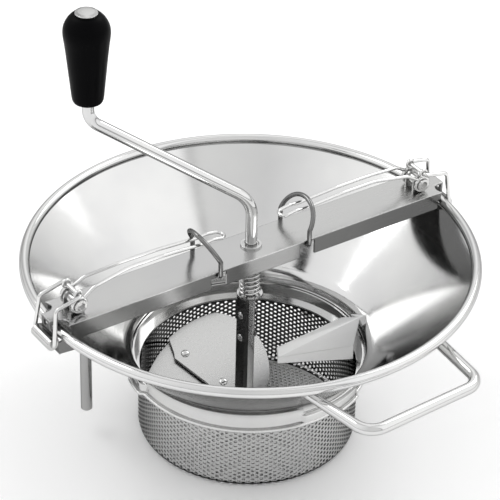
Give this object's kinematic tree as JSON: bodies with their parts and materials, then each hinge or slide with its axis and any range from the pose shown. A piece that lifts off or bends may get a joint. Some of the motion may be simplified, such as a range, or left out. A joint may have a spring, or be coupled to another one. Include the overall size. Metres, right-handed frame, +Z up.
{
  "type": "potato ricer",
  "caption": "Crank-driven rotary food mill: steel funnel bowl with loop handle and rest legs, bayonet sieve, sprung slanted rotor, black grip and a crossbar held by wire toggles.",
  "frame": {"origin": "centre of the sieve's flat underside, on the crank's axis", "axes": "+Z up the crank's axis, +X along the crossbar, the bowl's handle points to about -Y"},
  "size_m": [0.326, 0.3442, 0.3305],
  "materials": {
    "bowl_steel": "satin",
    "rod_steel": "polished",
    "bar_steel": "polished",
    "sieve_steel": "satin",
    "rotor_steel": "satin",
    "wire_steel": "polished",
    "bail_steel": "dark, polished",
    "grip_plastic": "gloss",
    "cap_steel": "polished"
  },
  "bodies": {
    "mill": {"bowl_shell": "bowl_steel", "rim_wire": "bowl_steel", "handle_loop": "rod_steel", "leg_left": "rod_steel", "leg_right": "rod_steel", "catch_left": "bowl_steel", "catch_right": "bowl_steel", "deflector": "bowl_steel", "crossbar": "bar_steel", "shaft_bush": "bar_steel", "lever_pin_left": "bar_steel", "lever_pin_right": "bar_steel", "spring": "wire_steel"},
    "sieve": {"sieve_collar": "sieve_steel", "sieve_drum": "sieve_steel"},
    "shaft_seat": {"spring_seat": "wire_steel"},
    "rotor": {"crank_rod": "rod_steel", "blade_post": "rod_steel", "post_rivets": "rod_steel", "blade_main": "rotor_steel", "blade_presser": "rotor_steel", "blade_rivets": "rod_steel"},
    "knob": {"grip": "grip_plastic", "grip_cap": "cap_steel"},
    "left_lever": {"lever_left": "wire_steel"},
    "right_lever": {"lever_right": "wire_steel"},
    "left_link": {"link_left": "wire_steel"},
    "right_link": {"link_right": "wire_steel"},
    "left_roller": {"roller_left": "wire_steel"},
    "right_roller": {"roller_right": "wire_steel"},
    "left_bail": {"bail_left": "bail_steel"},
    "right_bail": {"bail_right": "bail_steel"}
  },
  "joints": [
    {"name": "crank_float", "type": "slide", "parent": "mill", "child": "shaft_seat", "axis": [0, 0, 1], "range_m": [0, 0.003], "stiffness_N_per_m": 2800, "springref_m": -0.01, "deforming": ["spring"]},
    {"name": "crank_turn", "type": "hinge", "parent": "shaft_seat", "child": "rotor", "pos_m": [0, 0, 0.1], "axis": [0, 0, 1], "continuous": true},
    {"name": "grip_spin", "type": "hinge", "parent": "rotor", "child": "knob", "pos_m": [-0.09743, 0.04543, 0.3], "axis": [0, 0, 1], "continuous": true},
    {"name": "sieve_turn", "type": "hinge", "parent": "mill", "child": "sieve", "pos_m": [0, 0, 0.05], "axis": [0, 0, 1], "range_deg": [0, 20]},
    {"name": "lever_left_lift", "type": "hinge", "parent": "mill", "child": "left_lever", "pos_m": [-0.137, 0, 0.1535], "axis": [0, -1, 0], "range_deg": [0, 0.6]},
    {"name": "lever_right_lift", "type": "hinge", "parent": "mill", "child": "right_lever", "pos_m": [0.137, 0, 0.1535], "axis": [0, 1, 0], "range_deg": [0, 0.6]},
    {"name": "link_left_swing", "type": "hinge", "parent": "left_lever", "child": "left_link", "pos_m": [-0.1377, 0, 0.162], "axis": [0, -1, 0], "range_deg": [-0.6, 0]},
    {"name": "link_right_swing", "type": "hinge", "parent": "right_lever", "child": "right_link", "pos_m": [0.1377, 0, 0.162], "axis": [0, 1, 0], "range_deg": [-0.6, 0]},
    {"name": "roller_left_spin", "type": "hinge", "parent": "left_link", "child": "left_roller", "pos_m": [-0.159, 0, 0.132], "axis": [0, 1, 0], "continuous": true},
    {"name": "roller_right_spin", "type": "hinge", "parent": "right_link", "child": "right_roller", "pos_m": [0.159, 0, 0.132], "axis": [0, 1, 0], "continuous": true},
    {"name": "bail_left_swing", "type": "hinge", "parent": "mill", "child": "left_bail", "pos_m": [-0.0355, 0, 0.1436], "axis": [0, 1, 0], "range_deg": [0, 75]},
    {"name": "bail_right_swing", "type": "hinge", "parent": "mill", "child": "right_bail", "pos_m": [0.0355, 0, 0.1436], "axis": [0, -1, 0], "range_deg": [0, 75]}
  ],
  "couplings": [
    {"joint": "link_left_swing", "follows": "lever_left_lift", "ratio": -1},
    {"joint": "link_right_swing", "follows": "lever_right_lift", "ratio": -1}
  ]
}
